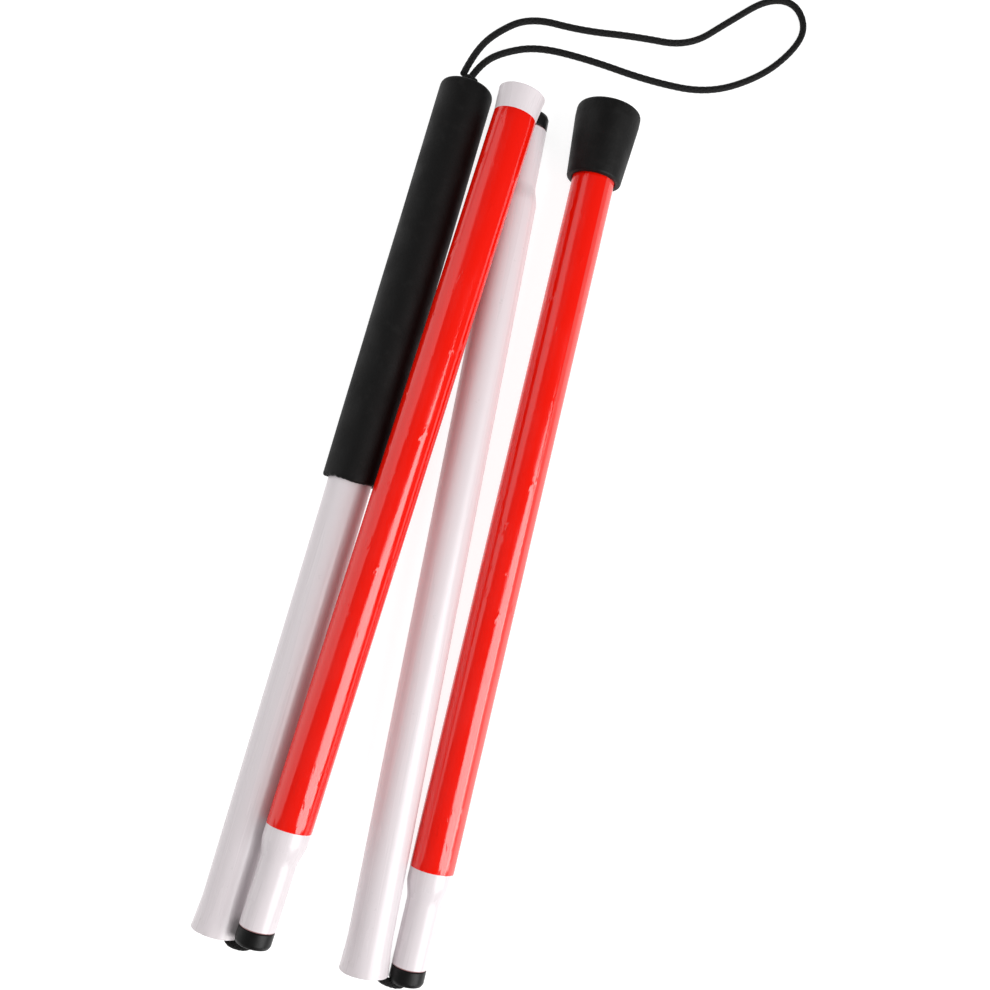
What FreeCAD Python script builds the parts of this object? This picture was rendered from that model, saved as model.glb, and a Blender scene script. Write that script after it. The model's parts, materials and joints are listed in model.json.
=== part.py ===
import FreeCAD, Part

import math
import os
import re

import Sketcher

# Folding white cane, folded up and lying on a flat surface. Four tubes are held
# together by one elastic cord. Each section has its own axis: local z runs from
# its upper end (grip end or plug end) towards its lower end (flared mouth or tip).
# World frame: +Z up from the surface, +Y towards the grip end, in millimetres.

doc = FreeCAD.newDocument("white_cane")

# ---------------------------------------------------------------- driving sizes
DIMENSIONS = [
    # tubes
    ("tube_diameter", 16.0, "outer diameter of every tube"),
    ("tube_bore", 13.1, "bore that the next section's neck slides in"),
    ("tube_end", 323.0, "local z of the lower end of sections 1, 3 and 4"),
    ("second_end", 318.4, "local z of section 2's lower end"),
    ("flare_diameter", 18.0, "outer diameter of a flared mouth"),
    ("flare_bore", 15.3, "inner diameter at the lip of a flared mouth"),
    ("flare_length", 9.0, "length of a flared mouth"),
    # reduced neck, shoulder and nose plug of sections 2 to 4
    ("plug_nose", 5.8, "plug length that stands out of the neck"),
    ("neck_length", 23.5, "length of the reduced neck"),
    ("shoulder_length", 6.2, "length of the cone from neck to tube"),
    ("neck_diameter", 12.9, "outer diameter of the neck"),
    ("neck_bore", 10.4, "inner diameter of the neck"),
    ("plug_diameter", 12.8, "outer diameter of the plug's nose"),
    ("plug_stem", 10.3, "diameter of the plug's stem in the neck"),
    ("plug_stem_length", 18.8, "length of that stem"),
    ("plug_hole", 4.4, "hole through a plug for the elastic"),
    ("plug_round", 1.3, "rounding of the plug's nose"),
    ("plug_hole_round", 0.9, "rounding of the hole's mouth in the nose"),
    # red film
    ("film_thickness", 0.15, "thickness of the red film"),
    ("film_gap", 5.0, "bare tube between the shoulder and the film"),
    ("film_under_tip", 3.0, "bare tube end that the tip covers"),
    # grip
    ("grip_diameter", 20.6, "outer diameter of the grip"),
    ("grip_top", 2.8, "local z of the grip's closed end"),
    ("grip_end", 160.0, "local z of the grip's open end"),
    ("grip_wall", 4.0, "thickness of the grip's closed end"),
    ("grip_round", 2.6, "rounding of the grip's end"),
    ("grip_edge_round", 0.65, "rounding of the grip's lower edge"),
    ("grip_hole", 6.4, "hole in the grip's end for the wrist cord"),
    ("end_plug_top", 15.0, "local z of the handle plug's upper face"),
    ("end_plug_length", 20.0, "length of the two plugs that anchor the elastic"),
    ("end_plug_diameter", 13.0, "diameter of those plugs"),
    # tip
    ("tip_diameter", 25.0, "diameter of the rubber tip at its ground end"),
    ("tip_skirt", 21.0, "diameter of the rubber tip at its open end"),
    ("tip_length", 29.1, "length of the rubber tip"),
    ("tip_beyond", 9.7, "how far the tip reaches past the tube's end"),
    ("tip_round", 2.5, "rounding of the tip's ground end"),
    ("tip_band", 5.0, "length of the tip's widest band, at its ground end"),
    ("tip_lip", 1.2, "rounding of the tip's open end"),
    ("washer_thickness", 1.5, "steel washer between the tube and the rubber"),
    ("washer_diameter", 16.0, "outer diameter of the washer"),
    ("washer_hole", 6.5, "hole of the washer"),
    ("knot_pocket", 10.0, "diameter of the pocket for the lower elastic knot"),
    ("knot_pocket_depth", 7.5, "depth of that pocket"),
    # cords
    ("elastic_diameter", 3.0, "diameter of the elastic cord"),
    ("elastic_knot", 8.4, "diameter of the elastic's stopper knots"),
    ("elastic_knot_height", 6.72, "height of the elastic's stopper knots"),
    ("elastic_lead", 12.0, "how deep inside a mouth the elastic leaves the axis"),
    ("cord_diameter", 2.7, "diameter of the wrist cord"),
    ("cord_knot", 6.6, "diameter of the wrist cord's knot"),
    ("cord_knot_height", 6.6, "height of the wrist cord's knot"),
    ("loose_fit", 0.15, "play of the washer and of the wrist cord's knot"),
    # how the folded sections lie: lower ends (x, y, z) and headings
    ("centre_x", 36.53, "shift that centres the folded cane in x"),
    ("centre_y", 24.2, "shift that centres the folded cane in y"),
    ("handle_mouth_x", -36.1, "mouth of the handle section"),
    ("handle_mouth_y", -118.8, "mouth of the handle section"),
    ("handle_mouth_z", 10.78, "mouth of the handle section"),
    ("handle_heading", 15.8, "degrees from +Y towards +X"),
    ("handle_rise", -0.08, "degrees that the handle climbs towards its grip end"),
    ("second_mouth_x", 70.18, "mouth of section 2"),
    ("second_mouth_y", 183.12, "mouth of section 2"),
    ("second_mouth_z", 21.98, "mouth of section 2"),
    ("second_heading", 17.08, "degrees from +Y towards +X"),
    ("second_rise", 0.37, "degrees that section 2 climbs towards +Y"),
    ("third_mouth_x", 14.9, "mouth of section 3"),
    ("third_mouth_y", -135.5, "mouth of section 3"),
    ("third_mouth_z", 9.1, "mouth of section 3"),
    ("third_heading", 11.07, "degrees from +Y towards +X"),
    ("third_rise", -0.22, "degrees that section 3 climbs towards +Y"),
    ("fourth_plug_x", 29.8, "plug end of section 4"),
    ("fourth_plug_y", -140.5, "plug end of section 4"),
    ("fourth_plug_z", 7.72, "plug end of section 4"),
    ("fourth_heading", 13.27, "degrees from +Y towards +X"),
    ("fourth_rise", 0.84, "degrees that section 4 climbs towards +Y"),
]

sheet = doc.addObject("Spreadsheet::Sheet", "dims")
size = {}
for number, (alias, value, meaning) in enumerate(DIMENSIONS, start=1):
    sheet.set("A%d" % number, meaning)
    sheet.set("B%d" % number, "%g" % value)
    sheet.setAlias("B%d" % number, alias)
    size[alias] = value
doc.recompute()


def from_sheet(expression):
    """The expression with every alias read from the sheet."""
    return re.sub(r"([a-z_]{3,})", r"dims.\1", expression)


# ---------------------------------------------------------------- section places
def heading(degrees, rise):
    """Unit vector that points along +Y, turned towards +X and lifted by rise."""
    turn = math.radians(degrees)
    lift = math.radians(rise)
    flat = math.cos(lift)
    return FreeCAD.Vector(flat * math.sin(turn), flat * math.cos(turn), math.sin(lift))


def point_of(name):
    """World point that the sheet gives as NAME_x, NAME_y and NAME_z."""
    centre = FreeCAD.Vector(size["centre_x"], size["centre_y"], 0)
    return FreeCAD.Vector(size[name + "_x"], size[name + "_y"], size[name + "_z"]) - centre


class Section:
    """A section's own axis: local z from its upper end, direction towards its lower end."""

    def __init__(self, start, direction, end):
        self.start = start
        self.direction = direction
        self.end = size[end]
        turn = FreeCAD.Rotation(FreeCAD.Vector(0, 0, 1), direction)
        self.placement = FreeCAD.Placement(start, turn)

    def at(self, distance):
        return self.start + self.direction * distance


def section_from_mouth(name, towards_grip_end, end="tube_end"):
    """A section that the sheet places by its mouth; +Y is its upper or lower end."""
    along = heading(size[name + "_heading"], size[name + "_rise"])
    direction = along * (-1 if towards_grip_end else 1)
    mouth = point_of(name + "_mouth")
    return Section(mouth - direction * size[end], direction, end)


handle = section_from_mouth("handle", True)
second = section_from_mouth("second", False, "second_end")
third = section_from_mouth("third", True)
fourth_direction = heading(size["fourth_heading"], size["fourth_rise"])
fourth = Section(point_of("fourth_plug"), fourth_direction, "tube_end")

pieces = []


def keep(node, label):
    """Register an object as a sub-part of the cane."""
    node.Label = label
    pieces.append(node)
    return node


# ---------------------------------------------------------------- turned pieces
def turned_sketch(body, name, outline):
    """Closed sketch of (radius, height) expressions beside the body's own Z axis."""
    plane = [part for part in body.Origin.OriginFeatures if part.Role == "XZ_Plane"][0]
    sketch = body.newObject("Sketcher::SketchObject", name)
    sketch.AttachmentSupport = [(plane, "")]
    sketch.MapMode = "FlatFace"
    count = len(outline)
    # rough places to start from, which the constraints then set
    start = [FreeCAD.Vector(5 + index, 3 + 4 * index, 0) for index in range(count)]
    for index in range(count):
        following = start[(index + 1) % count]
        sketch.addGeometry(Part.LineSegment(start[index], following), False)
    for index in range(count):
        sketch.addConstraint(Sketcher.Constraint("Coincident", index, 2, (index + 1) % count, 1))
    for index, (radius, height) in enumerate(outline):
        for axis, kind, expression in ((-2, "DistanceX", radius), (-1, "DistanceY", height)):
            if expression == "0":
                sketch.addConstraint(Sketcher.Constraint("PointOnObject", index, 1, axis))
                continue
            value = start[index].x if kind == "DistanceX" else start[index].y
            number = sketch.addConstraint(
                Sketcher.Constraint(kind, -1, 1, index, 1, value)
            )
            alias = "%s%d" % ("radius" if kind == "DistanceX" else "height", index)
            sketch.renameConstraint(number, alias)
            sketch.setExpression("Constraints." + alias, from_sheet(expression))
    return sketch


def turned_body(label, section, outline, rounds=()):
    """A body turned from one outline about the section's axis, with its rims rounded."""
    body = doc.addObject("PartDesign::Body", label + "_body")
    sketch = turned_sketch(body, label + "_outline", outline)
    doc.recompute()
    turned = body.newObject("PartDesign::Revolution", label + "_turned")
    turned.Profile = sketch
    turned.ReferenceAxis = (sketch, ["V_Axis"])
    turned.Angle = 360
    doc.recompute()
    for number, (height, radius, expression) in enumerate(rounds, start=1):
        round_rim(body, "%s_round_%d" % (label, number), height, radius, expression)
    body.Placement = section.placement
    doc.recompute()
    return keep(body, label)


def rims(shape, height, radius):
    """Names of the circular edges of that height and radius."""
    found = []
    for number, edge in enumerate(shape.Edges, start=1):
        curve = edge.Curve
        if not isinstance(curve, Part.Circle):
            continue
        if abs(curve.Center.z - height) < 0.01 and abs(curve.Radius - radius) < 0.01:
            found.append("Edge%d" % number)
    return found


def round_rim(body, name, height, radius, expression):
    """Fillet the rim at that height and radius of a turned body."""
    base = body.Tip
    names = rims(base.Shape, height, radius)
    if not names:
        raise RuntimeError(name + ": the rim to round was not found")
    fillet = body.newObject("PartDesign::Fillet", name)
    fillet.Base = (base, names)
    fillet.setExpression("Radius", from_sheet(expression))
    doc.recompute()


NECK_START = "plug_nose"
NECK_END = "plug_nose + neck_length"
SHOULDER_END = "plug_nose + neck_length + shoulder_length"


def flared_mouth(end):
    """Outline of a flared mouth whose lip is at the local z that end names."""
    flare_start = end + " - flare_length"
    return [
        ("tube_diameter / 2", flare_start),
        ("flare_diameter / 2", end),
        ("flare_bore / 2", end),
        ("tube_bore / 2", flare_start),
    ]


NECK_AND_SHOULDER_INSIDE = [
    ("tube_bore / 2", SHOULDER_END),
    ("neck_bore / 2", NECK_END),
    ("neck_bore / 2", NECK_START),
]
NECK_AND_SHOULDER_OUTSIDE = [
    ("neck_diameter / 2", NECK_START),
    ("neck_diameter / 2", NECK_END),
    ("tube_diameter / 2", SHOULDER_END),
]

# handle tube: plain upper end inside the grip, flared mouth below
TUBE_TOP = "grip_top + grip_wall"
turned_body(
    "handle_tube",
    handle,
    [("tube_bore / 2", TUBE_TOP), ("tube_diameter / 2", TUBE_TOP)] + flared_mouth("tube_end"),
)

# sections 2 and 3: neck, shoulder, tube and flared mouth
for label, section, end in (
    ("section_2_tube", second, "second_end"),
    ("section_3_tube", third, "tube_end"),
):
    turned_body(
        label,
        section,
        NECK_AND_SHOULDER_OUTSIDE + flared_mouth(end) + NECK_AND_SHOULDER_INSIDE,
    )

# section 4: the same neck, and a plain lower end inside the rubber tip
turned_body(
    "section_4_tube",
    fourth,
    NECK_AND_SHOULDER_OUTSIDE
    + [("tube_diameter / 2", "tube_end"), ("tube_bore / 2", "tube_end")]
    + NECK_AND_SHOULDER_INSIDE,
)

# nose plugs: a rounded nose outside the neck and a stem pressed into it
for label, section in (
    ("section_2_plug", second),
    ("section_3_plug", third),
    ("section_4_plug", fourth),
):
    turned_body(
        label,
        section,
        [
            ("plug_hole / 2", "0"),
            ("plug_diameter / 2", "0"),
            ("plug_diameter / 2", "plug_nose"),
            ("plug_stem / 2", "plug_nose"),
            ("plug_stem / 2", "plug_nose + plug_stem_length"),
            ("plug_hole / 2", "plug_nose + plug_stem_length"),
        ],
        [
            (0, size["plug_diameter"] / 2, "plug_round"),
            (0, size["plug_hole"] / 2, "plug_hole_round"),
        ],
    )

# red reflective film wrapped around sections 2 and 4
FILM_INSIDE = "tube_diameter / 2"
FILM_OUTSIDE = "tube_diameter / 2 + film_thickness"
FILM_START = SHOULDER_END + " + film_gap"
for label, section, film_end in (
    ("section_2_film", second, "second_end - flare_length"),
    ("section_4_film", fourth, "tube_end - film_under_tip"),
):
    turned_body(
        label,
        section,
        [
            (FILM_INSIDE, FILM_START),
            (FILM_OUTSIDE, FILM_START),
            (FILM_OUTSIDE, film_end),
            (FILM_INSIDE, film_end),
        ],
    )

# grip: a rubber sleeve with a closed, rounded end
turned_body(
    "handle_grip",
    handle,
    [
        ("grip_hole / 2", "grip_top"),
        ("grip_diameter / 2", "grip_top"),
        ("grip_diameter / 2", "grip_end"),
        ("tube_diameter / 2", "grip_end"),
        ("tube_diameter / 2", TUBE_TOP),
        ("grip_hole / 2", TUBE_TOP),
    ],
    [
        (size["grip_top"], size["grip_diameter"] / 2, "grip_round"),
        (size["grip_end"], size["grip_diameter"] / 2, "grip_edge_round"),
    ],
)

# plug in the handle's upper end, which the elastic is anchored on
turned_body(
    "handle_end_plug",
    handle,
    [
        ("plug_hole / 2", "end_plug_top"),
        ("end_plug_diameter / 2", "end_plug_top"),
        ("end_plug_diameter / 2", "end_plug_top + end_plug_length"),
        ("plug_hole / 2", "end_plug_top + end_plug_length"),
    ],
)

# plug in section 4's lower end, with a pocket for the elastic's lower knot
turned_body(
    "tip_end_plug",
    fourth,
    [
        ("plug_hole / 2", "tube_end - end_plug_length"),
        ("end_plug_diameter / 2", "tube_end - end_plug_length"),
        ("end_plug_diameter / 2", "tube_end"),
        ("knot_pocket / 2", "tube_end"),
        ("knot_pocket / 2", "tube_end - knot_pocket_depth"),
        ("plug_hole / 2", "tube_end - knot_pocket_depth"),
    ],
)

# rubber tip: a cap over section 4's lower end, widest at the ground
tip_end = size["tube_end"] + size["tip_beyond"]
turned_body(
    "rubber_tip",
    fourth,
    [
        ("0", "tube_end + washer_thickness"),
        ("washer_diameter / 2", "tube_end + washer_thickness"),
        ("washer_diameter / 2", "tube_end - film_under_tip"),
        (FILM_OUTSIDE, "tube_end - film_under_tip"),
        (FILM_OUTSIDE, "tube_end + tip_beyond - tip_length"),
        ("tip_skirt / 2", "tube_end + tip_beyond - tip_length"),
        ("tip_diameter / 2", "tube_end + tip_beyond - tip_band"),
        ("tip_diameter / 2", "tube_end + tip_beyond"),
        ("0", "tube_end + tip_beyond"),
    ],
    [
        (tip_end, size["tip_diameter"] / 2, "tip_round"),
        (tip_end - size["tip_length"], size["tip_skirt"] / 2, "tip_lip"),
    ],
)


# ---------------------------------------------------------------- padded pieces
def washer(label, section):
    """A flat ring between the tube's end and the rubber, padded from two circles."""
    body = doc.addObject("PartDesign::Body", label + "_body")
    plane = [part for part in body.Origin.OriginFeatures if part.Role == "XY_Plane"][0]
    sketch = body.newObject("Sketcher::SketchObject", label + "_rings")
    sketch.AttachmentSupport = [(plane, "")]
    sketch.MapMode = "FlatFace"
    normal = FreeCAD.Vector(0, 0, 1)
    for index, alias in enumerate(("washer_diameter", "washer_hole")):
        ring = Part.Circle(FreeCAD.Vector(0, 0, 0), normal, size[alias] / 2)
        sketch.addGeometry(ring, False)
        sketch.addConstraint(Sketcher.Constraint("Coincident", index, 3, -1, 1))
        number = sketch.addConstraint(Sketcher.Constraint("Diameter", index, size[alias]))
        sketch.renameConstraint(number, alias)
        sketch.setExpression("Constraints." + alias, from_sheet(alias + " - loose_fit"))
    doc.recompute()
    pad = body.newObject("PartDesign::Pad", label + "_pad")
    pad.Profile = sketch
    pad.setExpression("Length", from_sheet("washer_thickness"))
    body.Placement = FreeCAD.Placement(section.at(size["tube_end"]), section.placement.Rotation)
    doc.recompute()
    return keep(body, label)


washer("tip_washer", fourth)


# ---------------------------------------------------------------- elastic cord
def elastic_run(label, section, first, last):
    """A straight stretch of the elastic on a section's axis."""
    run = doc.addObject("Part::Cylinder", label + "_run")
    run.setExpression("Radius", from_sheet("elastic_diameter / 2"))
    run.Height = last - first
    run.Placement = FreeCAD.Placement(section.at(first), section.placement.Rotation)
    return keep(run, label)


lead_depth = size["plug_nose"] + size["neck_length"] + size["shoulder_length"]
knot_half = size["elastic_knot_height"] / 2
lower_knot = size["tube_end"] - size["knot_pocket_depth"] + knot_half
upper_knot = size["end_plug_top"] - knot_half

elastic_run("elastic_run_1", handle, upper_knot + knot_half, handle.end - size["elastic_lead"])
elastic_run("elastic_run_2", second, lead_depth, second.end - size["elastic_lead"])
elastic_run("elastic_run_3", third, lead_depth, third.end - size["elastic_lead"])
elastic_run("elastic_run_4", fourth, lead_depth, lower_knot - knot_half)

# the stretch inside each plug and neck
for label, section in (
    ("elastic_lead_1", second),
    ("elastic_lead_2", third),
    ("elastic_lead_3", fourth),
):
    elastic_run(label, section, size["plug_nose"], lead_depth)


def stopper_knot(label, section, height):
    """A tight round knot that keeps the elastic from slipping through its plug."""
    knot = doc.addObject("Part::Ellipsoid", label + "_knot")
    knot.setExpression("Radius1", from_sheet("elastic_knot_height / 2"))
    knot.setExpression("Radius2", from_sheet("elastic_knot / 2"))
    knot.setExpression("Radius3", from_sheet("elastic_knot / 2"))
    knot.Placement = FreeCAD.Placement(section.at(height), section.placement.Rotation)
    return keep(knot, label)


stopper_knot("elastic_knot_upper", handle, upper_knot)
stopper_knot("elastic_knot_lower", fourth, lower_knot)


# ---------------------------------------------------------------- cord routes
ARC_SHARE = 0.45


def rounded_path(points):
    """Straight runs through the points, joined by tangent arcs; returns wire and radii."""
    edges = []
    radii = []
    here = points[0]
    for index in range(1, len(points) - 1):
        corner = points[index]
        incoming = corner - points[index - 1]
        outgoing = points[index + 1] - corner
        turn = incoming.getAngle(outgoing)
        shorter = min(incoming.Length, outgoing.Length)
        cut = ARC_SHARE * shorter
        radius = cut / math.tan(turn / 2)
        incoming.normalize()
        outgoing.normalize()
        arc_start = corner - incoming * cut
        arc_end = corner + outgoing * cut
        inward = outgoing - incoming
        inward.normalize()
        centre = corner + inward * (radius / math.cos(turn / 2))
        middle = centre - inward * radius
        edges.append(Part.LineSegment(here, arc_start).toShape())
        edges.append(Part.Arc(arc_start, middle, arc_end).toShape())
        radii.append(radius)
        here = arc_end
    edges.append(Part.LineSegment(here, points[-1]).toShape())
    return Part.Wire(edges), radii


def tube_along(label, points, diameter):
    """A solid round cord along the rounded path through the points."""
    path, radii = rounded_path(points)
    first = points[1] - points[0]
    ring = Part.Circle(points[0], first, diameter / 2)
    profile = Part.Wire([ring.toShape()])
    solid = path.makePipeShell([profile], True, False)
    section_area = math.pi * diameter ** 2 / 4
    share = solid.Volume / (section_area * path.Length)
    print("%s: length %.1f, volume over section times length %.4f" % (label, path.Length, share))
    print("   radii " + " ".join("%.1f" % radius for radius in radii))
    print("   runs " + " ".join(
        "%.1f" % (points[i + 1] - points[i]).Length for i in range(len(points) - 1)
    ))
    cord = doc.addObject("Part::Feature", label + "_solid")
    cord.Shape = solid
    return keep(cord, label)


# Each exposed bend leaves a mouth beside its lip, turns back and enters the next plug.
STRAIGHT_LEAD = 4.5
LIP_OFFSET = 4.9
UNDER_LIP = 2.3
BEND_REACH = 2.1
BELOW_PLUG = 1.5
INTO_PLUG = 2.2


def elastic_bend(label, upper, lower):
    """The stretch of elastic from one section's mouth into the next section's plug."""
    mouth = upper.at(upper.end)
    entry = lower.at(0)
    lead_start = upper.end - size["elastic_lead"]
    out = upper.direction - lower.direction
    out.normalize()
    across = entry - mouth
    across = across - out * across.dot(out)
    across.normalize()
    lip = mouth + across * LIP_OFFSET
    beside_lip = lip + out * BEND_REACH
    below_plug = entry - across * BELOW_PLUG + out * BEND_REACH
    points = [
        upper.at(lead_start),
        upper.at(lead_start + STRAIGHT_LEAD),
        lip - out * UNDER_LIP,
        beside_lip,
        below_plug,
        entry + lower.direction * INTO_PLUG,
        lower.at(size["plug_nose"]),
    ]
    return tube_along(label, points, size["elastic_diameter"])


elastic_bend("elastic_bend_1", handle, second)
elastic_bend("elastic_bend_2", second, third)
elastic_bend("elastic_bend_3", third, fourth)

# ---------------------------------------------------------------- wrist loop
# The cord leaves the knot on the grip's end, drops to the surface, makes one long
# loop to the right and comes back to the same knot.
FLOOR = size["cord_diameter"] / 2
LOOP_ROUTE = [
    (49.4, 194.6, 11.0),
    (53.5, 203.9, 8.2),
    (62.0, 215.5, 3.0),
    (77.0, 224.5, FLOOR),
    (98.0, 220.5, FLOOR),
    (120.0, 219.8, FLOOR),
    (142.0, 217.2, FLOOR),
    (160.0, 229.5, FLOOR),
    (176.0, 240.0, FLOOR),
    (188.0, 239.5, FLOOR),
    (192.5, 229.0, FLOOR),
    (186.5, 218.5, FLOOR),
    (172.0, 206.5, FLOOR),
    (150.0, 198.3, FLOOR),
    (126.0, 201.5, FLOOR),
    (100.0, 209.0, FLOOR),
    (80.0, 212.5, FLOOR),
    (66.0, 208.5, 2.8),
    (56.8, 201.2, 7.4),
    (52.3, 193.6, 10.4),
]
shift = FreeCAD.Vector(size["centre_x"], size["centre_y"], 0)
loop_points = [FreeCAD.Vector(*point) - shift for point in LOOP_ROUTE]
tube_along("wrist_loop", loop_points, size["cord_diameter"])

# knot of the wrist cord: a squat barrel on the grip's end with a stem in its hole
turned_body(
    "wrist_loop_knot",
    Section(handle.at(size["grip_top"] - size["cord_knot_height"]), handle.direction, "tube_end"),
    [
        ("0", "0"),
        ("cord_knot / 2", "0"),
        ("cord_knot / 2", "cord_knot_height - loose_fit"),
        ("grip_hole / 2 - loose_fit", "cord_knot_height - loose_fit"),
        ("grip_hole / 2 - loose_fit", "cord_knot_height + grip_wall"),
        ("0", "cord_knot_height + grip_wall"),
    ],
)

# ---------------------------------------------------------------- checks and files
doc.recompute()
for thing in doc.Objects:
    for word in ("Invalid", "Error"):
        if word in thing.State:
            raise RuntimeError("%s is %s" % (thing.Name, word))
for piece in pieces:
    if piece.Shape.isNull() or not piece.Shape.isValid() or piece.Shape.Volume <= 0:
        raise RuntimeError("%s has no sound shape" % piece.Label)
    if len(piece.Shape.Solids) != 1:
        raise RuntimeError("%s is not one solid" % piece.Label)

os.makedirs("parts", exist_ok=True)
for piece in pieces:
    piece.Shape.exportStep(os.path.join("parts", piece.Label + ".step"))

box = FreeCAD.BoundBox()
for piece in pieces:
    if not piece.Label.startswith("wrist_loop"):
        box.add(piece.Shape.optimalBoundingBox(False, False))
print("without the wrist loop: centre (%.2f, %.2f), lowest %.3f, size %.1f x %.1f x %.1f" % (
    box.Center.x, box.Center.y, box.ZMin, box.XLength, box.YLength, box.ZLength))
print("%d pieces written" % len(pieces))
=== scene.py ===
import json
import math

import bmesh
import bpy
from mathutils import Matrix, Vector, noise


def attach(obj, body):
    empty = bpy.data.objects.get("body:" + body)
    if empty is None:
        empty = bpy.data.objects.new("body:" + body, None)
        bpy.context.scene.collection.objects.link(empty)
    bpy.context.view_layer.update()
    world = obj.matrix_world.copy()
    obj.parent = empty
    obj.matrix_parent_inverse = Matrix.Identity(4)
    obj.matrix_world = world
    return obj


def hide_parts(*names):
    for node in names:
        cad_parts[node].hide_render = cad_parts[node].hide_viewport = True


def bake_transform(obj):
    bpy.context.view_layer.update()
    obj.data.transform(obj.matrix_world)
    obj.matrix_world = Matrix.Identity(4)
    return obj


# A folding white cane, folded up. Lengths are in metres, in the CAD frame: +Z up
# from the surface, +Y towards the grip end. Each section has its own axis too, whose
# local z runs from the grip end or plug end towards the flared mouth or the tip.
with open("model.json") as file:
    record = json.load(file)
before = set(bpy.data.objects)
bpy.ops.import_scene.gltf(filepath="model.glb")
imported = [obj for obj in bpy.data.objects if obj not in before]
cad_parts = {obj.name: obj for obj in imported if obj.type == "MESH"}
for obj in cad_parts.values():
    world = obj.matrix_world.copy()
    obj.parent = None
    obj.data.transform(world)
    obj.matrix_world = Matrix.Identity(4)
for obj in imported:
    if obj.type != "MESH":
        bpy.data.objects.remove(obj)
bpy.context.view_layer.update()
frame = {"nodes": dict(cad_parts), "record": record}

# ------------------------------------------------------------------------ camera
CAMERA_PLACE = Vector((-0.03653, -0.0242, 0.4172))
CAMERA_AIM = Vector((0.14945, 0.08231, -0.98534))
CAMERA_LENS = 40.445


def facing(place, aim, side):
    """Matrix at a place whose -Z looks along aim and whose X lies along side."""
    back = -aim.normalized()
    right = (side - back * side.dot(back)).normalized()
    above = back.cross(right)
    turned_to = Matrix((right, above, back)).transposed().to_4x4()
    return Matrix.Translation(place) @ turned_to


def camera_level(aim):
    """The camera's right-hand direction, which lies square to the frame's Y axis."""
    return Vector((-aim.z, 0, aim.x))


lens = bpy.data.cameras.new("camera")
lens.lens = CAMERA_LENS
lens.sensor_width = 36
lens.clip_start = 0.01
camera = bpy.data.objects.new("camera", lens)
camera.matrix_world = facing(CAMERA_PLACE, CAMERA_AIM, camera_level(CAMERA_AIM))
bpy.context.collection.objects.link(camera)
bpy.context.scene.camera = camera

# --------------------------------------------------------------- sizes, as in CAD
TUBE_RADIUS = 0.008
TUBE_BORE = 0.00655
TUBE_END = 0.323
SECOND_END = 0.3184
FLARE_RADIUS = 0.009
FLARE_BORE = 0.00765
FLARE_LENGTH = 0.009
NOSE_LENGTH = 0.0058
NECK_END = 0.0293
SHOULDER_END = 0.0355
NECK_RADIUS = 0.00645
NECK_BORE = 0.0052
PLUG_RADIUS = 0.0064
PLUG_STEM = 0.00515
PLUG_STEM_END = 0.0246
PLUG_HOLE = 0.0022
FILM_GAP = 0.005
FILM_THICKNESS = 0.00015
FILM_UNDER_TIP = 0.003
GRIP_RADIUS = 0.0103
GRIP_TOP = 0.0028
GRIP_END = 0.160
GRIP_WALL = 0.004
GRIP_HOLE = 0.0032
END_PLUG_TOP = 0.015
TIP_RADIUS = 0.0125
TIP_SKIRT_RADIUS = 0.0105
TIP_START = 0.3036
TIP_END = 0.3327
ELASTIC_RADIUS = 0.0015
ELASTIC_LEAD = 0.012
CORD_DIAMETER = 0.0027


# -------------------------------------------------------------- section's own axes
class Section:
    """A section's place, found from one of its CAD nodes: local y is its upper side.

    first_height is the local z at which that node starts, and end is the local z of
    the section's lower end."""

    def __init__(self, body, direction, first_node, first_height=0.0, end=TUBE_END):
        self.body = body
        self.end = end
        self.direction = Vector(direction).normalized()
        above = Vector((0, 0, 1))
        self.above = (above - self.direction * above.dot(self.direction)).normalized()
        self.side = self.above.cross(self.direction)
        points = [vertex.co for vertex in frame["nodes"][first_node].data.vertices]
        self.start = (
            self.side * middle([point.dot(self.side) for point in points])
            + self.above * middle([point.dot(self.above) for point in points])
            + self.direction * (min(point.dot(self.direction) for point in points) - first_height)
        )
        axes = Matrix((self.side, self.above, self.direction)).transposed()
        self.matrix = Matrix.Translation(self.start) @ axes.to_4x4()

    def at(self, distance):
        return self.start + self.direction * distance


def middle(values):
    return (min(values) + max(values)) / 2


joints = {joint["name"]: joint for joint in frame["record"]["behaviour"]["joints"]}
ground_face = frame["record"]["mounts"][0]


def into_the_mouth(seat):
    """A section's direction: its seat slide pushes the next section the other way."""
    return -Vector(joints[seat]["axis"])


handle = Section("handle", into_the_mouth("seat_1"), "handle_grip", GRIP_TOP)
second = Section("section_2", into_the_mouth("seat_2"), "section_2_plug", end=SECOND_END)
third = Section("section_3", into_the_mouth("seat_3"), "section_3_plug")
fourth = Section("section_4", ground_face["axis"], "section_4_plug")


# -------------------------------------------------------------------- mesh helpers
def new_object(name, mesh, matrix, material, replaced=()):
    """A piece with its material and the CAD nodes that it stands for."""
    piece = bpy.data.objects.new(name, mesh)
    bpy.context.collection.objects.link(piece)
    piece.matrix_world = matrix
    mesh.materials.append(material)
    if replaced:
        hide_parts(*replaced)
    return piece


def smooth(mesh, angle=40):
    """Shade the mesh smooth, but for edges sharper than that angle in degrees."""
    mesh.polygons.foreach_set("use_smooth", [True] * len(mesh.polygons))
    mesh.set_sharp_from_angle(angle=math.radians(angle))


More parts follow.
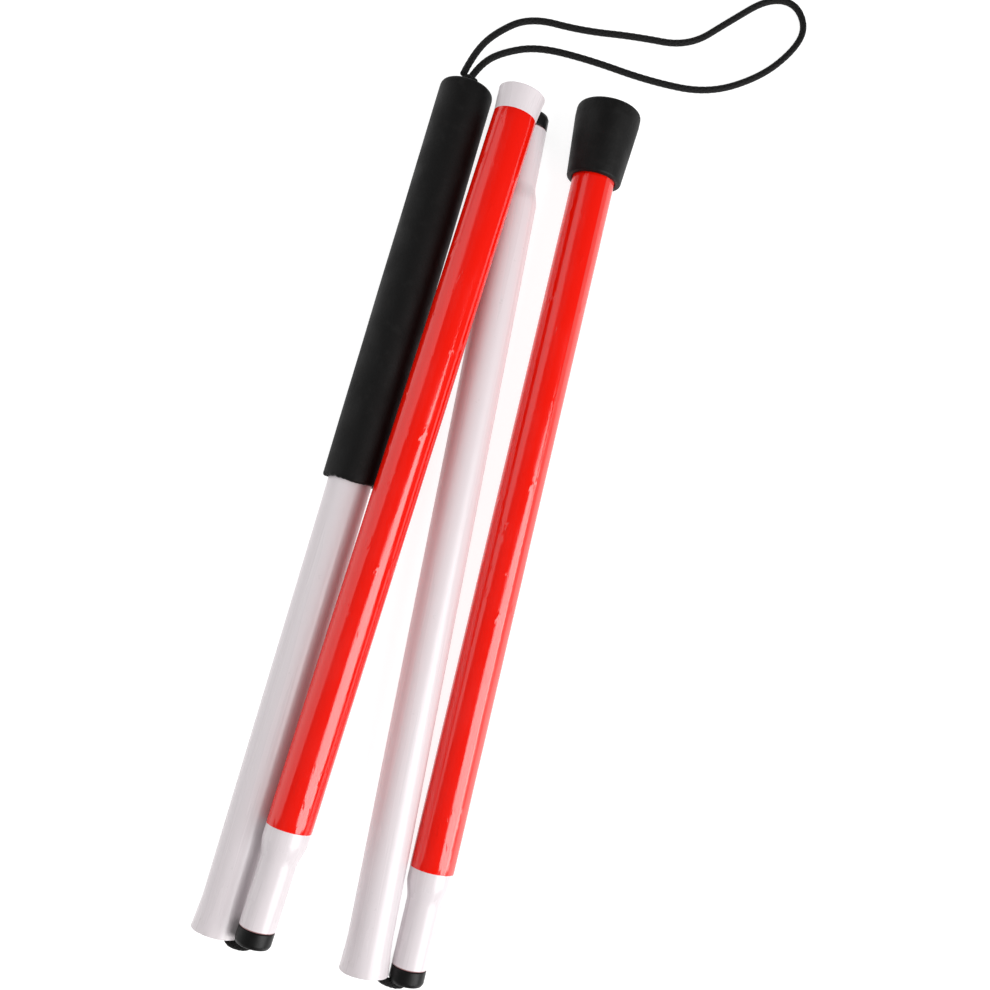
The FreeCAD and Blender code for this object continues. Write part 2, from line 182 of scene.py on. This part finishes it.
def softened(outline, radius, steps=5):
    """The outline with each corner rounded, by less where a run is too short."""
    points = [Vector((r, z)) for r, z in outline]
    count = len(points)
    rounded = []
    for index, corner in enumerate(points):
        before = points[index - 1] - corner
        after = points[(index + 1) % count] - corner
        if min(before.length, after.length) < 1e-7:
            rounded.append(corner)
            continue
        opening = before.angle(after)
        if opening > math.radians(176):
            rounded.append(corner)
            continue
        reach = min(radius / math.tan(opening / 2), 0.45 * before.length, 0.45 * after.length)
        for step in range(steps + 1):
            share = step / steps
            first = corner + before.normalized() * reach * (1 - share)
            last = corner + after.normalized() * reach * share
            rounded.append(first * (1 - share) + last * share)
    return [(point.x, point.y) for point in rounded]


def divided(outline, longest):
    """The outline with points added so that no run is longer than that."""
    points = []
    for index, (radius, height) in enumerate(outline):
        next_radius, next_height = outline[(index + 1) % len(outline)]
        run = math.hypot(next_radius - radius, next_height - height)
        pieces = max(1, math.ceil(run / longest))
        for step in range(pieces):
            share = step / pieces
            points.append((
                radius + (next_radius - radius) * share,
                height + (next_height - height) * share,
            ))
    return points


def turned_mesh(name, outline, around=96, shape=None):
    """Mesh turned from a closed outline of (radius, height) about local z.

    shape(angle, radius, height) may give back another radius and height."""
    build = bmesh.new()
    rings = []
    for step in range(around):
        angle = 2 * math.pi * step / around
        ring = []
        for radius, height in outline:
            if shape is not None:
                radius, height = shape(angle, radius, height)
            place = (radius * math.cos(angle), radius * math.sin(angle), height)
            ring.append(build.verts.new(place))
        rings.append(ring)
    for step in range(around):
        here = rings[step]
        beyond = rings[(step + 1) % around]
        for index in range(len(outline)):
            following = (index + 1) % len(outline)
            build.faces.new((here[index], beyond[index], beyond[following], here[following]))
    bmesh.ops.remove_doubles(build, verts=build.verts, dist=1e-7)
    bmesh.ops.dissolve_degenerate(build, dist=1e-8, edges=build.edges)
    bmesh.ops.recalc_face_normals(build, faces=build.faces)
    mesh = bpy.data.meshes.new(name)
    build.to_mesh(mesh)
    build.free()
    smooth(mesh)
    return mesh


def turned(name, section, outline, material, replaced, around=96, shape=None):
    """A turned piece in its section's frame, riding on that section's body."""
    mesh = turned_mesh(name, outline, around, shape)
    piece = new_object(name, mesh, section.matrix, material, replaced)
    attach(piece, section.body)
    return piece


def spline_points(points, resolution):
    """Points along the NURBS spline that the control points give."""
    curve = bpy.data.curves.new("route", "CURVE")
    curve.dimensions = "3D"
    curve.resolution_u = resolution
    spline = curve.splines.new("NURBS")
    spline.points.add(len(points) - 1)
    for target, point in zip(spline.points, points):
        target.co = (*point, 1)
    spline.order_u = 3
    spline.use_endpoint_u = True
    route = bpy.data.objects.new("route", curve)
    line = bpy.data.meshes.new_from_object(route)
    found = [vertex.co.copy() for vertex in line.vertices]
    bpy.data.objects.remove(route)
    bpy.data.curves.remove(curve)
    bpy.data.meshes.remove(line)
    return found


def evenly(points, spacing):
    """The same line with its points about that far apart."""
    lengths = [0]
    for first, last in zip(points, points[1:]):
        lengths.append(lengths[-1] + (last - first).length)
    count = max(2, round(lengths[-1] / spacing))
    found = []
    index = 0
    for step in range(count + 1):
        wanted = lengths[-1] * step / count
        while index < len(points) - 2 and lengths[index + 1] < wanted:
            index += 1
        run = max(lengths[index + 1] - lengths[index], 1e-9)
        share = (wanted - lengths[index]) / run
        found.append(points[index].lerp(points[index + 1], min(max(share, 0), 1)))
    return found


def tube_mesh(name, line, radius, around=16, profile=None, closed=False):
    """A tube along the line. profile(distance, angle) scales its radius."""
    build = bmesh.new()
    uv = build.loops.layers.uv.new("UVMap")
    count = len(line)
    rings = []
    distances = []
    distance = 0
    across = None
    for index, point in enumerate(line):
        before = line[index - 1] if index or closed else point
        after = line[(index + 1) % count] if index < count - 1 or closed else point
        along = (after - before).normalized()
        if across is None:
            across = along.orthogonal()
        across = (across - along * across.dot(along)).normalized()
        beside = along.cross(across)
        if index:
            distance += (point - line[index - 1]).length
        ring = []
        for step in range(around):
            angle = 2 * math.pi * step / around
            reach = radius * (profile(distance, angle) if profile else 1)
            offset = across * math.cos(angle) + beside * math.sin(angle)
            ring.append(build.verts.new(point + offset * reach))
        rings.append(ring)
        distances.append(distance)
    last = count if closed else count - 1
    for index in range(last):
        here = rings[index]
        beyond = rings[(index + 1) % count]
        for step in range(around):
            following = (step + 1) % around
            face = build.faces.new((here[step], here[following], beyond[following], beyond[step]))
            face.smooth = True
            corners = ((index, step), (index, step + 1), (index + 1, step + 1), (index + 1, step))
            for loop, (ring_index, turn) in zip(face.loops, corners):
                along_tube = distances[ring_index] if ring_index < count else distance
                loop[uv].uv = (along_tube, turn / around)
    if not closed:
        build.faces.new(rings[0])
        build.faces.new(list(reversed(rings[-1])))
    bmesh.ops.recalc_face_normals(build, faces=build.faces)
    mesh = bpy.data.meshes.new(name)
    build.to_mesh(mesh)
    build.free()
    return mesh


def braid(strands, pitch, depth):
    """Radius of a braided cord: two families of strands that cross one another."""

    def radius_share(distance, angle):
        along = 2 * math.pi * distance / pitch
        left = math.cos(strands * angle + along)
        right = math.cos(strands * angle - along)
        return 1 - depth + depth * max(left, right)

    return radius_share


# ----------------------------------------------------------------------- materials
class Surface:
    """A procedural material: one principled shader and the nodes that feed it."""

    def __init__(self, name, roughness=0.5, **sockets):
        self.material = bpy.data.materials.new(name)
        self.material.use_nodes = True
        self.tree = self.material.node_tree
        self.shader = self.tree.nodes["Principled BSDF"]
        self.shader.inputs["Roughness"].default_value = roughness
        for socket, value in sockets.items():
            self.shader.inputs[socket.replace("_", " ")].default_value = value
        self.place = self.tree.nodes.new("ShaderNodeTexCoord")
        self.bumps = None

    def node(self, kind, links=(), **settings):
        """A shader node; each link is a socket with its source or its constant."""
        made = self.tree.nodes.new(kind)
        for key, value in settings.items():
            setattr(made, key, value)
        for socket, source in links:
            if hasattr(source, "links"):
                self.tree.links.new(source, made.inputs[socket])
            else:
                made.inputs[socket].default_value = source
        return made

    def coordinates(self, stretch=(1, 1, 1), source="Object"):
        mapping = self.node("ShaderNodeMapping", [("Vector", self.place.outputs[source])])
        mapping.inputs["Scale"].default_value = stretch
        return mapping.outputs["Vector"]

    def noise(self, scale, detail=3, stretch=(1, 1, 1), rough=0.55, source="Object"):
        """Noise from 0 to 1, scale waves to the metre."""
        made = self.node("ShaderNodeTexNoise", [
            ("Vector", self.coordinates(stretch, source)),
            ("Scale", scale),
            ("Detail", detail),
            ("Roughness", rough),
        ])
        return made.outputs["Fac"]

    def cells(self, scale):
        """Distance to the nearest of scattered points, scale points to the metre."""
        made = self.node("ShaderNodeTexVoronoi", [
            ("Vector", self.coordinates()),
            ("Scale", scale),
        ])
        return made.outputs["Distance"]

    def maths(self, operation, first, second=0.0, third=0.0):
        links = [(0, first), (1, second), (2, third)]
        return self.node("ShaderNodeMath", links, operation=operation).outputs[0]

    def between(self, value, low, high, to_low=0.0, to_high=1.0):
        """The value mapped smoothly from one range to another, and held inside it."""
        made = self.node("ShaderNodeMapRange", [
            ("Value", value),
            ("From Min", low),
            ("From Max", high),
            ("To Min", to_low),
            ("To Max", to_high),
        ], interpolation_type="SMOOTHSTEP")
        return made.outputs["Result"]

    def mixed(self, share, first, second):
        made = self.node("ShaderNodeMix", data_type="RGBA")
        for index, source in ((0, share), (6, first), (7, second)):
            if hasattr(source, "links"):
                self.tree.links.new(source, made.inputs[index])
            elif index:
                made.inputs[index].default_value = (*source, 1)
            else:
                made.inputs[index].default_value = source
        return made.outputs[2]

    def colour(self, source):
        self.tree.links.new(source, self.shader.inputs["Base Color"])

    def roughness(self, source):
        self.tree.links.new(source, self.shader.inputs["Roughness"])

    def bump(self, height, distance, strength=1.0):
        """Add a height, in metres, to the surface's bumps."""
        links = [("Height", height), ("Distance", distance), ("Strength", strength)]
        if self.bumps is not None:
            links.append(("Normal", self.bumps))
        self.bumps = self.node("ShaderNodeBump", links).outputs["Normal"]
        self.tree.links.new(self.bumps, self.shader.inputs["Normal"])

    def local(self, axis):
        """The place along one of the piece's own axes, in metres."""
        made = self.node("ShaderNodeSeparateXYZ", [("Vector", self.place.outputs["Object"])])
        return made.outputs[axis]


def white_paint():
    """Glossy white paint over a drawn tube, a little soiled near its mouth."""
    paint = Surface("white_paint", roughness=0.4, Specular_IOR_Level=0.5)
    tone = paint.mixed(paint.noise(18, 3, (1, 1, 0.2)), (0.66, 0.605, 0.625), (0.70, 0.645, 0.665))
    height = paint.local("Z")
    specks = paint.between(paint.noise(420, 2), 0.70, 0.76)
    near_mouth = paint.between(height, SECOND_END - 0.003, TUBE_END - 0.0005)
    grime = paint.maths("MULTIPLY", near_mouth, paint.between(paint.noise(260, 4), 0.50, 0.68))
    tone = paint.mixed(paint.maths("MULTIPLY", specks, 0.15), tone, (0.34, 0.32, 0.31))
    tone = paint.mixed(paint.maths("MULTIPLY", grime, 0.25), tone, (0.46, 0.43, 0.41))
    # a thin dark red line where the neck meets its plug
    edge = paint.between(height, NOSE_LENGTH + 0.0006, NOSE_LENGTH + 0.0003)
    paint.colour(paint.mixed(paint.maths("MULTIPLY", edge, 0.8), tone, (0.20, 0.02, 0.02)))
    streaks = paint.noise(240, 3, (1, 1, 0.03))
    paint.roughness(paint.between(streaks, 0.3, 0.7, 0.24, 0.34))
    paint.bump(paint.noise(700, 2), 0.000012)
    paint.bump(paint.noise(70, 2, (1, 1, 0.25)), 0.00009)
    paint.bump(paint.between(paint.noise(520, 3, (1, 1, 0.05)), 0.64, 0.70), -0.000010)
    return paint.material


def red_film():
    """Red reflective film: clear and glossy over fine beads, with waves and blisters."""
    film = Surface("red_film", roughness=0.14, Specular_IOR_Level=0.62)
    tone = film.mixed(film.noise(30, 3, (1, 1, 0.15)), (0.74, 0.005, 0.0005), (0.82, 0.008, 0.001))
    beads = film.cells(2600)
    tone = film.mixed(film.maths("MULTIPLY", beads, 0.15), tone, (0.70, 0.004, 0.0005))
    lap = film.node("ShaderNodeAttribute", attribute_name="lap").outputs["Fac"]
    # paler red where the film lies two layers thick: a painted sheen along the overlap
    lap_sheen = film.between(film.noise(45, 3, (1, 1, 0.2)), 0.3, 0.7, 0.55, 0.95)
    film.colour(film.mixed(film.maths("MULTIPLY", lap, lap_sheen), tone, (0.74, 0.085, 0.075)))
    rough = film.between(film.noise(160, 4, (1, 1, 0.3)), 0.35, 0.72, 0.10, 0.20)
    film.roughness(rough)
    blisters = film.between(film.noise(170, 3, (1, 1, 0.5)), 0.60, 0.70)
    film.bump(blisters, 0.00009)
    film.bump(film.noise(60, 2, (1, 1, 0.22)), 0.00010)
    film.bump(film.noise(620, 2, (1, 1, 0.35)), 0.000006)
    film.bump(beads, 0.0000012)
    return film.material


def black_rubber(name, shade, grain, roughness):
    """Matte black rubber with a fine grain, paler where it is rubbed."""
    rubber = Surface(name, roughness=roughness, Specular_IOR_Level=0.2)
    dark = (shade, shade * 0.96, shade * 0.95)
    pale = (shade * 1.9, shade * 1.85, shade * 1.8)
    dust = rubber.between(rubber.noise(180, 5), 0.52, 0.75)
    rubber.colour(rubber.mixed(dust, dark, pale))
    wear = rubber.noise(90, 4)
    rubber.roughness(rubber.between(wear, 0.3, 0.7, roughness - 0.08, roughness + 0.10))
    rubber.bump(rubber.noise(grain, 3), 0.00007)
    rubber.bump(rubber.cells(grain * 0.55), 0.00003)
    rubber.bump(rubber.noise(60, 2), 0.00018)
    return rubber.material


def moulded_plastic(name, shade):
    """Satin moulded plastic with a sparked grain and light scuffs."""
    plastic = Surface(name, roughness=0.38, Specular_IOR_Level=0.2)
    scuffs = plastic.between(plastic.noise(300, 3, (1, 1, 0.2)), 0.60, 0.72)
    plastic.colour(plastic.mixed(
        plastic.maths("MULTIPLY", scuffs, 0.6), (shade, shade, shade), (shade * 3.2,) * 3
    ))
    plastic.roughness(plastic.between(plastic.noise(220, 3), 0.3, 0.7, 0.30, 0.48))
    plastic.bump(plastic.noise(2200, 2), 0.000010)
    plastic.bump(scuffs, -0.000015)
    return plastic.material


def woven_cord(name, shade, strands, pitch):
    """Black braided cord: crossing strands, with a slight sheen of fibre."""
    cord = Surface(name, roughness=0.72, Specular_IOR_Level=0.2, Sheen_Weight=0.03)
    split = cord.node("ShaderNodeSeparateXYZ", [("Vector", cord.place.outputs["UV"])])
    along = cord.maths("MULTIPLY", split.outputs["X"], 2 * math.pi / pitch)
    around = cord.maths("MULTIPLY", split.outputs["Y"], 2 * math.pi * strands)
    left = cord.maths("COSINE", cord.maths("ADD", around, along))
    right = cord.maths("COSINE", cord.maths("SUBTRACT", around, along))
    strand = cord.maths("MAXIMUM", left, right)
    fibre = cord.noise(2400, 2, (0.2, 1, 1), source="UV")
    pale = (shade * 2.6, shade * 2.5, shade * 2.5)
    lit = cord.maths("MULTIPLY", cord.between(strand, -0.2, 1.0), fibre)
    cord.colour(cord.mixed(lit, (shade * 0.45,) * 3, pale))
    cord.roughness(cord.between(fibre, 0.3, 0.7, 0.62, 0.82))
    cord.bump(strand, 0.00006)
    cord.bump(fibre, 0.00003)
    return cord.material


def turned_steel():
    """Steel with fine turning marks round its axis."""
    steel = Surface("washer_steel", roughness=0.35, Metallic=1.0)
    rings = steel.noise(900, 2, (1, 1, 6))
    steel.colour(steel.mixed(rings, (0.46, 0.45, 0.44), (0.62, 0.61, 0.60)))
    steel.roughness(steel.between(rings, 0.3, 0.7, 0.26, 0.44))
    steel.bump(rings, 0.00001)
    return steel.material


WHITE = white_paint()
RED = red_film()
GRIP = black_rubber("grip_rubber", 0.0042, 1500, 0.62)
TIP = black_rubber("tip_rubber", 0.004, 1100, 0.55)
PLUG = moulded_plastic("black_plug", 0.005)
INNER_PLUG = moulded_plastic("end_plugs", 0.04)
ELASTIC = woven_cord("elastic", 0.005, 8, 0.0016)
WRIST_CORD = woven_cord("wrist_cord", 0.0045, 6, 0.0026)
STEEL = turned_steel()

# --------------------------------------------------------------------- wrist loop
FLOOR = CORD_DIAMETER / 2
CENTRE = Vector((0.03653, 0.0242, 0))
LOOP_ROUTE = [
    (0.0494, 0.1946, 0.0110),
    (0.0535, 0.2039, 0.0082),
    (0.0620, 0.2155, 0.0030),
    (0.0770, 0.2245, FLOOR),
    (0.0980, 0.2205, FLOOR),
    (0.1200, 0.2198, FLOOR),
    (0.1420, 0.2172, FLOOR),
    (0.1600, 0.2295, FLOOR),
    (0.1760, 0.2400, FLOOR),
    (0.1880, 0.2395, FLOOR),
    (0.1925, 0.2290, FLOOR),
    (0.1865, 0.2185, FLOOR),
    (0.1720, 0.2065, FLOOR),
    (0.1500, 0.1983, FLOOR),
    (0.1260, 0.2015, FLOOR),
    (0.1000, 0.2090, FLOOR),
    (0.0800, 0.2125, FLOOR),
    (0.0660, 0.2085, 0.0028),
    (0.0568, 0.2012, 0.0074),
    (0.0523, 0.1936, 0.0104),
]
loop_line = evenly(
    spline_points([Vector(point) - CENTRE for point in LOOP_ROUTE], 24), 0.00036
)
loop = new_object(
    "wrist_loop_cord",
    tube_mesh("wrist_loop_cord", loop_line, CORD_DIAMETER / 2, 20, braid(6, 0.0026, 0.03)),
    Matrix.Identity(4), WRIST_CORD, ["wrist_loop"],
)
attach(loop, "handle")

KNOT_SCALE = 0.00068
KNOT_CORD = 0.00125
KNOT_HEIGHT = 0.0027


def knot_point(turn):
    """A trefoil, which is an overhand knot pulled close."""
    return Vector((
        math.sin(turn) + 2 * math.sin(2 * turn),
        math.cos(turn) - 2 * math.cos(2 * turn),
        -1.5 * math.sin(3 * turn),
    )) * KNOT_SCALE


knot_steps = 260
knot_line = [knot_point(2 * math.pi * step / knot_steps) for step in range(knot_steps)]
knot = new_object(
    "wrist_loop_knot_cord",
    tube_mesh("wrist_loop_knot_cord", knot_line, KNOT_CORD, 18, braid(6, 0.0026, 0.03), True),
    handle.matrix @ Matrix.Translation((0, 0, GRIP_TOP - KNOT_HEIGHT)),
    WRIST_CORD, ["wrist_loop_knot"],
)
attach(knot, "handle")

# --------------------------------------------------------------------- elastic cord
LIP_OFFSET = 0.0055
BEND_REACH = 0.0017
STRAIGHT_LEAD = 0.0045
UNDER_LIP = 0.0028
BELOW_PLUG = 0.0012
INTO_PLUG = 0.0022
ELASTIC_BRAID = braid(8, 0.0016, 0.08)


def bend_route(upper, lower):
    """Route of the elastic from one section's mouth back into the next one's plug."""
    mouth = upper.at(upper.end)
    entry = lower.at(0)
    out = (upper.direction - lower.direction).normalized()
    across = entry - mouth
    across = (across - out * across.dot(out)).normalized()
    lip = mouth + across * LIP_OFFSET
    return [
        upper.at(upper.end - ELASTIC_LEAD),
        upper.at(upper.end - ELASTIC_LEAD + STRAIGHT_LEAD),
        lip - out * UNDER_LIP,
        lip + out * BEND_REACH,
        entry - across * BELOW_PLUG + out * BEND_REACH,
        entry + lower.direction * INTO_PLUG,
        lower.at(NOSE_LENGTH),
    ]


for number, upper, lower in ((1, handle, second), (2, second, third), (3, third, fourth)):
    line = evenly(spline_points(bend_route(upper, lower), 16), 0.0003)
    bend = new_object(
        "elastic_bend_%d_cord" % number,
        tube_mesh("elastic_bend_%d" % number, line, ELASTIC_RADIUS, 20, ELASTIC_BRAID),
        Matrix.Identity(4), ELASTIC, ["elastic_bend_%d" % number],
    )
    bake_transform(bend)

# the stretch in each tube pays out as the next section is pushed home
for number, section, first in (
    (1, handle, END_PLUG_TOP), (2, second, SHOULDER_END), (3, third, SHOULDER_END)
):
    last = section.end - ELASTIC_LEAD
    line = evenly([section.at(first), section.at(last)], 0.004)
    run = new_object(
        "elastic_run_%d_cord" % number,
        tube_mesh("elastic_run_%d" % number, line, ELASTIC_RADIUS, 16),
        Matrix.Identity(4), ELASTIC, ["elastic_run_%d" % number],
    )
    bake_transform(run)


# ----------------------------------------------------------------------- the tubes
def rough_lip(end, seed):
    """A tube's shape: its mouth is slightly uneven, as cut and dipped in paint."""

    def shape(angle, radius, height):
        closeness = max(0.0, 1 - (end - height) / 0.0015)
        place = Vector((math.cos(angle) * 2.2, math.sin(angle) * 2.2, seed))
        fine = Vector((math.cos(angle) * 9, math.sin(angle) * 9, seed + 5))
        wave = noise.noise(place) * 0.00022 + noise.noise(fine) * 0.00012
        return radius + wave * closeness * 0.35, height - abs(wave) * closeness

    return shape


LIP_ROUND = 0.00055


def flared_mouth(end):
    """Outline of a flared mouth whose lip is at that local z."""
    flare_start = end - FLARE_LENGTH
    return [
        (TUBE_RADIUS, flare_start - 0.003),
        (TUBE_RADIUS + 0.0002, flare_start + 0.001),
        (FLARE_RADIUS - 0.00012, end - 0.0008),
        (FLARE_RADIUS, end),
        (FLARE_BORE, end),
        (TUBE_BORE, flare_start),
    ]


SHOULDER_STEPS = 12
SHOULDER = []
for step in range(SHOULDER_STEPS + 1):
    share = step / SHOULDER_STEPS
    swell = share * share * (3 - 2 * share)
    SHOULDER.append((
        NECK_RADIUS + (TUBE_RADIUS - NECK_RADIUS) * swell,
        NECK_END - 0.001 + (SHOULDER_END - NECK_END + 0.002) * share,
    ))
NECK = [
    (TUBE_BORE, SHOULDER_END),
    (NECK_BORE, NECK_END),
    (NECK_BORE, NOSE_LENGTH),
    (NECK_RADIUS, NOSE_LENGTH),
] + SHOULDER
PLAIN_END = [(TUBE_RADIUS, TUBE_END), (TUBE_BORE, TUBE_END)]
TUBE_TOP = GRIP_TOP + GRIP_WALL
PLAIN_START = [(TUBE_BORE, TUBE_TOP), (TUBE_RADIUS, TUBE_TOP)]

for name, section, upper_end, lower_end, seed in (
    ("handle_tube", handle, PLAIN_START, flared_mouth(TUBE_END), 1.3),
    ("section_2_tube", second, NECK, flared_mouth(SECOND_END), 4.1),
    ("section_3_tube", third, NECK, flared_mouth(TUBE_END), 8.7),
    ("section_4_tube", fourth, NECK, PLAIN_END, 2.9),
):
    outline = divided(softened(upper_end + lower_end, LIP_ROUND), 0.02)
    turned(
        name + "_painted", section, outline, WHITE, [name],
        around=128, shape=rough_lip(section.end, seed),
    )


# ------------------------------------------------------------------------ red film
def wrapped(seam_angle, overlap, seed):
    """A film's shape: one turn with an overlapping edge, shallow waves and blisters."""
    seam = math.radians(seam_angle)
    lap = math.radians(overlap)

    def shape(angle, radius, height):
        if radius < TUBE_RADIUS + FILM_THICKNESS / 2:
            return radius, height
        past_seam = (angle - seam) % (2 * math.pi)
        if past_seam < lap:
            radius += FILM_THICKNESS * 0.8
        place = Vector((math.cos(angle), math.sin(angle), height * 60 + seed))
        radius += noise.noise(place) * 0.00003
        return radius, height

    return shape


def mark_lap(mesh, seam_angle, overlap):
    """Mark where the film lies two layers thick, for its material."""
    marks = mesh.attributes.new("lap", "FLOAT", "POINT")
    seam = math.radians(seam_angle)
    lap = math.radians(overlap)
    for vertex, mark in zip(mesh.vertices, marks.data):
        past_seam = (math.atan2(vertex.co.y, vertex.co.x) - seam) % (2 * math.pi)
        mark.value = 1.0 if past_seam < lap else 0.0


FILM_START = SHOULDER_END + FILM_GAP
for name, section, film_end, seam_angle, overlap, seed in (
    ("section_2_film", second, SECOND_END - FLARE_LENGTH - 0.0005, 262, 16, 3.0),
    ("section_4_film", fourth, TUBE_END - FILM_UNDER_TIP, 117, 40, 9.0),
):
    outline = divided(softened([
        (TUBE_RADIUS, FILM_START),
        (TUBE_RADIUS + FILM_THICKNESS, FILM_START),
        (TUBE_RADIUS + FILM_THICKNESS, film_end),
        (TUBE_RADIUS, film_end),
    ], FILM_THICKNESS * 0.4, 2), 0.004)
    wrap = turned(
        name + "_wrap", section, outline, RED, [name],
        around=180, shape=wrapped(seam_angle, overlap, seed),
    )
    mark_lap(wrap.data, seam_angle, overlap)

# --------------------------------------------------------------------- nose plugs
for name, section in (
    ("section_2_plug", second), ("section_3_plug", third), ("section_4_plug", fourth)
):
    outline = softened([
        (PLUG_HOLE, 0.0),
        (PLUG_RADIUS - 0.0006, 0.0),
        (PLUG_RADIUS, 0.0013),
        (PLUG_RADIUS, NOSE_LENGTH),
        (PLUG_STEM, NOSE_LENGTH),
        (PLUG_STEM, PLUG_STEM_END),
        (PLUG_HOLE, PLUG_STEM_END),
    ], 0.0009, 6)
    turned(name + "_moulded", section, outline, PLUG, [name])


# ----------------------------------------------------------------- grip and tip
def torn_edge(angle, radius, height):
    """The grip's lower edge is cut by hand, and its wall is a little uneven."""
    around = Vector((math.cos(angle), math.sin(angle), 0))
    near_edge = max(0.0, 1 - (GRIP_END - height) / 0.004)
    ragged = noise.noise(around * 1.4) * 0.0011 + noise.noise(around * 7) * 0.0004
    if radius > TUBE_RADIUS + 0.0005:
        swell = noise.noise(around + Vector((0, 0, height * 28)))
        radius += swell * 0.00009 + abs(noise.noise(around * 5)) * 0.0002 * near_edge
    return radius, height + ragged * near_edge


grip_outline = divided(softened([
    (GRIP_HOLE, GRIP_TOP),
    (GRIP_RADIUS, GRIP_TOP),
    (GRIP_RADIUS, GRIP_END),
    (TUBE_RADIUS, GRIP_END),
    (TUBE_RADIUS, TUBE_TOP),
    (GRIP_HOLE, TUBE_TOP),
], 0.0024, 8), 0.004)
turned(
    "handle_grip_sleeve", handle, grip_outline, GRIP, ["handle_grip"],
    around=144, shape=torn_edge,
)

TIP_SEAT = TUBE_END + 0.0015
tip_outline = divided(softened([
    (0.0, TIP_SEAT),
    (TUBE_RADIUS, TIP_SEAT),
    (TUBE_RADIUS, TUBE_END - FILM_UNDER_TIP),
    (TUBE_RADIUS + FILM_THICKNESS, TUBE_END - FILM_UNDER_TIP),
    (TUBE_RADIUS + FILM_THICKNESS, TIP_START),
    (TIP_SKIRT_RADIUS, TIP_START),
    (TIP_RADIUS, TIP_END - 0.005),
    (TIP_RADIUS, TIP_END),
    (0.0, TIP_END),
], 0.0022, 8), 0.003)
turned("rubber_tip_cap", fourth, tip_outline, TIP, ["rubber_tip"], around=144)

# ------------------------------------------------------------- CAD nodes that stay
for node, material in (
    ("handle_end_plug", INNER_PLUG),
    ("tip_end_plug", INNER_PLUG),
    ("tip_washer", STEEL),
    ("elastic_knot_upper", ELASTIC),
    ("elastic_knot_lower", ELASTIC),
    ("elastic_run_4", ELASTIC),
    ("elastic_lead_1", ELASTIC),
    ("elastic_lead_2", ELASTIC),
    ("elastic_lead_3", ELASTIC),
):
    kept = frame["nodes"][node]
    for place in kept.material_slots:
        place.material = material

# ------------------------------------------------------------------ floor and light
floor_paint = Surface("floor_paint", roughness=0.9, Specular_IOR_Level=0.1)
floor_paint.colour(floor_paint.mixed(
    floor_paint.noise(6, 2), (0.34, 0.34, 0.34), (0.36, 0.36, 0.36)
))
floor_paint.shader.inputs["Emission Color"].default_value = (1, 1, 1, 1)
floor_paint.shader.inputs["Emission Strength"].default_value = 0.85
bpy.ops.mesh.primitive_plane_add(size=60, location=(0, 0, 0))
floor = bpy.context.object
floor.name = "floor"
floor.data.materials.append(floor_paint.material)

bpy.context.scene.view_settings.view_transform = "Standard"

world = bpy.data.worlds.new("world")
world.use_nodes = True
world.node_tree.nodes["Background"].inputs["Color"].default_value = (1, 1, 1, 1)
world.node_tree.nodes["Background"].inputs["Strength"].default_value = 0.1
bpy.context.scene.world = world


def panel(name, towards, distance, width, length, radiance):
    """A flat light that shines on the cane from that direction."""
    place = Vector(towards).normalized() * distance
    light = bpy.data.lights.new(name, "AREA")
    light.shape = "RECTANGLE"
    light.size = width
    light.size_y = length
    light.energy = radiance * math.pi * width * length
    lamp = bpy.data.objects.new(name, light)
    lamp.matrix_world = facing(place, -place, Vector((1, 0, 0)))
    bpy.context.collection.objects.link(lamp)
    return lamp


panel("key_right", (0.635, -0.42, 0.646), 1.2, 0.90, 0.97, 6.6)
panel("fill_left", (-0.85, 0.38, 0.36), 1.2, 1.5, 1.0, 1.1)
# lights the tubes from above without a reflection of its own in the film
overhead = panel("soft_overhead", (-0.45, 0.1, 0.9), 1.4, 1.8, 1.8, 0.95)
overhead.visible_glossy = False
